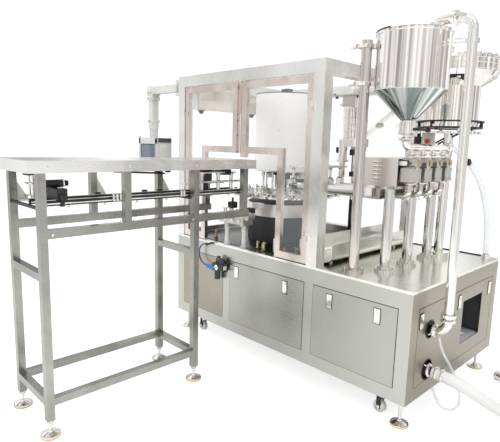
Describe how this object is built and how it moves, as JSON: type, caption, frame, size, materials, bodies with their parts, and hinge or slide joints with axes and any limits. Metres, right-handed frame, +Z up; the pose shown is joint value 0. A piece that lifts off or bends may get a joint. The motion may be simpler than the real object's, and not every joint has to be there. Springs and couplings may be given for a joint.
{
  "type": "rotary pouch filling and capping machine",
  "caption": "Rotary spout-pouch filling and capping machine: cabinet on feet and casters, glazed turret enclosure, piston filler with hopper, cap feeder and pouch infeed table.",
  "frame": {"origin": "on the floor under the middle of the machine's box, hoses left out", "axes": "+Z up, +X to the operator's right along the cabinet, +Y from the operator's side to the back"},
  "size_m": [3.044, 2.705, 2.2229],
  "materials": {
    "stainless": "brushed stainless sheet and tube",
    "polished": "mirror-polished stainless",
    "dark": "dark painted metal",
    "black": "black plastic",
    "clear": "clear pane",
    "white_hose": "white food hose",
    "clear_hose": "clear hose",
    "blue_hose": "blue air hose",
    "white_case": "pale moulded case",
    "wheel": "pale nylon wheel"
  },
  "bodies": {
    "machine": {"cabinet_frame": "stainless", "deck_plate": "stainless", "fixed_panels": "stainless", "enclosure_frame": "stainless", "drum_cover": "stainless", "piston_cover": "stainless", "table_frame": "stainless", "table_hood": "stainless", "outfeed_trough": "stainless", "filler_stand": "stainless", "valve_blocks": "stainless", "transfer_unit": "stainless", "hopper_post": "stainless", "dosing_cylinders": "stainless", "levelling_feet": "stainless", "hopper": "polished", "supply_pipe": "polished", "pipe_clamps": "polished", "infeed_manifold": "polished", "cap_feeder": "polished", "capping_column": "polished", "hose_ferrule": "polished", "turret_drive": "dark", "supply_pump": "dark", "air_unit": "dark", "pouch_rails": "black", "rear_glass": "clear", "suction_hose": "white_hose", "product_hoses": "white_hose", "drain_hose": "clear_hose", "return_hose": "clear_hose", "air_hose": "blue_hose"},
    "turret": {"turret_disc": "polished"},
    "left_door_leaf": {"left_door": "stainless", "left_door_glass": "clear"},
    "right_door_leaf": {"right_door": "stainless", "right_door_glass": "clear"},
    "left_panel_leaf": {"left_panel": "stainless"},
    "right_panel_leaf": {"right_panel": "stainless"},
    "left_paddle_pair": {"left_paddles": "stainless"},
    "right_paddle_pair": {"right_paddles": "stainless"},
    "end_paddle_set": {"end_paddles": "stainless"},
    "nozzle_head": {"nozzles": "polished"},
    "capper": {"capping_head": "polished"},
    "cap_chuck": {"capping_spindle": "polished"},
    "pistons": {"piston_drive": "polished"},
    "spools": {"valve_spools": "polished"},
    "lever": {"valve_lever": "polished"},
    "lid": {"lid_flap": "polished"},
    "panel_arm": {"hmi_arm": "stainless"},
    "operator_panel": {"hmi_housing": "white_case"},
    "pouch_pusher": {"pusher": "black"},
    "fork_left_front": {"caster_fork_left_front": "black"},
    "wheel_left_front": {"caster_wheel_left_front": "wheel"},
    "fork_left_rear": {"caster_fork_left_rear": "black"},
    "wheel_left_rear": {"caster_wheel_left_rear": "wheel"},
    "fork_right_front": {"caster_fork_right_front": "black"},
    "wheel_right_front": {"caster_wheel_right_front": "wheel"},
    "fork_right_rear": {"caster_fork_right_rear": "black"},
    "wheel_right_rear": {"caster_wheel_right_rear": "wheel"}
  },
  "joints": [
    {"name": "turret_spin", "type": "hinge", "parent": "machine", "child": "turret", "pos_m": [-0.2125, 0.6825, 1.149], "axis": [0, 0, 1], "continuous": true},
    {"name": "left_door_hinge", "type": "hinge", "parent": "machine", "child": "left_door_leaf", "pos_m": [-0.771, 0.1182, 1.4], "axis": [0, 0, -1], "range_deg": [0, 90]},
    {"name": "right_door_hinge", "type": "hinge", "parent": "machine", "child": "right_door_leaf", "pos_m": [0.493, 0.1182, 1.4], "axis": [0, 0, 1], "range_deg": [0, 105]},
    {"name": "left_panel_hinge", "type": "hinge", "parent": "machine", "child": "left_panel_leaf", "pos_m": [0.1375, 0.1215, 0.236], "axis": [1, 0, 0], "range_deg": [0, 70]},
    {"name": "right_panel_hinge", "type": "hinge", "parent": "machine", "child": "right_panel_leaf", "pos_m": [0.8495, 0.1215, 0.236], "axis": [1, 0, 0], "range_deg": [0, 70]},
    {"name": "left_paddle_turn", "type": "hinge", "parent": "left_panel_leaf", "child": "left_paddle_pair", "pos_m": [0.0975, 0.121, 0.657], "axis": [-1, 0, 0], "range_deg": [0, 60]},
    {"name": "right_paddle_turn", "type": "hinge", "parent": "right_panel_leaf", "child": "right_paddle_pair", "pos_m": [0.8495, 0.121, 0.657], "axis": [-1, 0, 0], "range_deg": [0, 60]},
    {"name": "end_paddle_turn", "type": "hinge", "parent": "machine", "child": "end_paddle_set", "pos_m": [1.2215, 0.7225, 0.657], "axis": [0, -1, 0], "range_deg": [0, 60]},
    {"name": "nozzle_dip", "type": "slide", "parent": "machine", "child": "nozzle_head", "axis": [0, 0, -1], "range_m": [0, 0.045]},
    {"name": "capper_lift", "type": "slide", "parent": "machine", "child": "capper", "axis": [0, 0, -1], "range_m": [0, 0.05]},
    {"name": "chuck_spin", "type": "hinge", "parent": "capper", "child": "cap_chuck", "pos_m": [0.1325, 0.9715, 1.3], "axis": [0, 0, 1], "continuous": true},
    {"name": "piston_stroke", "type": "slide", "parent": "machine", "child": "pistons", "axis": [-1, 0, 0], "range_m": [0, 0.06]},
    {"name": "spool_shift", "type": "slide", "parent": "machine", "child": "spools", "axis": [1, 0, 0], "range_m": [0, 0.012]},
    {"name": "hopper_valve_turn", "type": "hinge", "parent": "machine", "child": "lever", "pos_m": [0.9725, 0.3775, 1.645], "axis": [-1, 0, 0], "range_deg": [0, 90]},
    {"name": "lid_hinge", "type": "hinge", "parent": "machine", "child": "lid", "pos_m": [0.9725, 0.3775, 2.1654], "axis": [0, 1, 0], "range_deg": [0, 105]},
    {"name": "panel_arm_swing", "type": "hinge", "parent": "machine", "child": "panel_arm", "pos_m": [-0.8945, 0.1625, 1.965], "axis": [0, 0, 1], "range_deg": [-30, 60]},
    {"name": "operator_panel_turn", "type": "hinge", "parent": "panel_arm", "child": "operator_panel", "pos_m": [-1.2725, 0.1625, 1.6], "axis": [0, 0, 1], "range_deg": [-60, 60]},
    {"name": "pusher_feed", "type": "slide", "parent": "machine", "child": "pouch_pusher", "axis": [0, 1, 0], "range_m": [0, 0.7]},
    {"name": "caster_swivel_left_front", "type": "hinge", "parent": "machine", "child": "fork_left_front", "pos_m": [-0.6475, 0.2325, 0.14], "axis": [0, 0, 1], "continuous": true},
    {"name": "caster_spin_left_front", "type": "hinge", "parent": "fork_left_front", "child": "wheel_left_front", "pos_m": [-0.6475, 0.2325, 0.039], "axis": [0, 1, 0], "continuous": true},
    {"name": "caster_swivel_left_rear", "type": "hinge", "parent": "machine", "child": "fork_left_rear", "pos_m": [-0.6475, 1.2425, 0.14], "axis": [0, 0, 1], "continuous": true},
    {"name": "caster_spin_left_rear", "type": "hinge", "parent": "fork_left_rear", "child": "wheel_left_rear", "pos_m": [-0.6475, 1.2425, 0.039], "axis": [0, 1, 0], "continuous": true},
    {"name": "caster_swivel_right_front", "type": "hinge", "parent": "machine", "child": "fork_right_front", "pos_m": [1.0125, 0.2325, 0.14], "axis": [0, 0, 1], "continuous": true},
    {"name": "caster_spin_right_front", "type": "hinge", "parent": "fork_right_front", "child": "wheel_right_front", "pos_m": [1.0125, 0.2325, 0.039], "axis": [0, 1, 0], "continuous": true},
    {"name": "caster_swivel_right_rear", "type": "hinge", "parent": "machine", "child": "fork_right_rear", "pos_m": [1.0125, 1.2425, 0.14], "axis": [0, 0, 1], "continuous": true},
    {"name": "caster_spin_right_rear", "type": "hinge", "parent": "fork_right_rear", "child": "wheel_right_rear", "pos_m": [1.0125, 1.2425, 0.039], "axis": [0, 1, 0], "continuous": true}
  ]
}
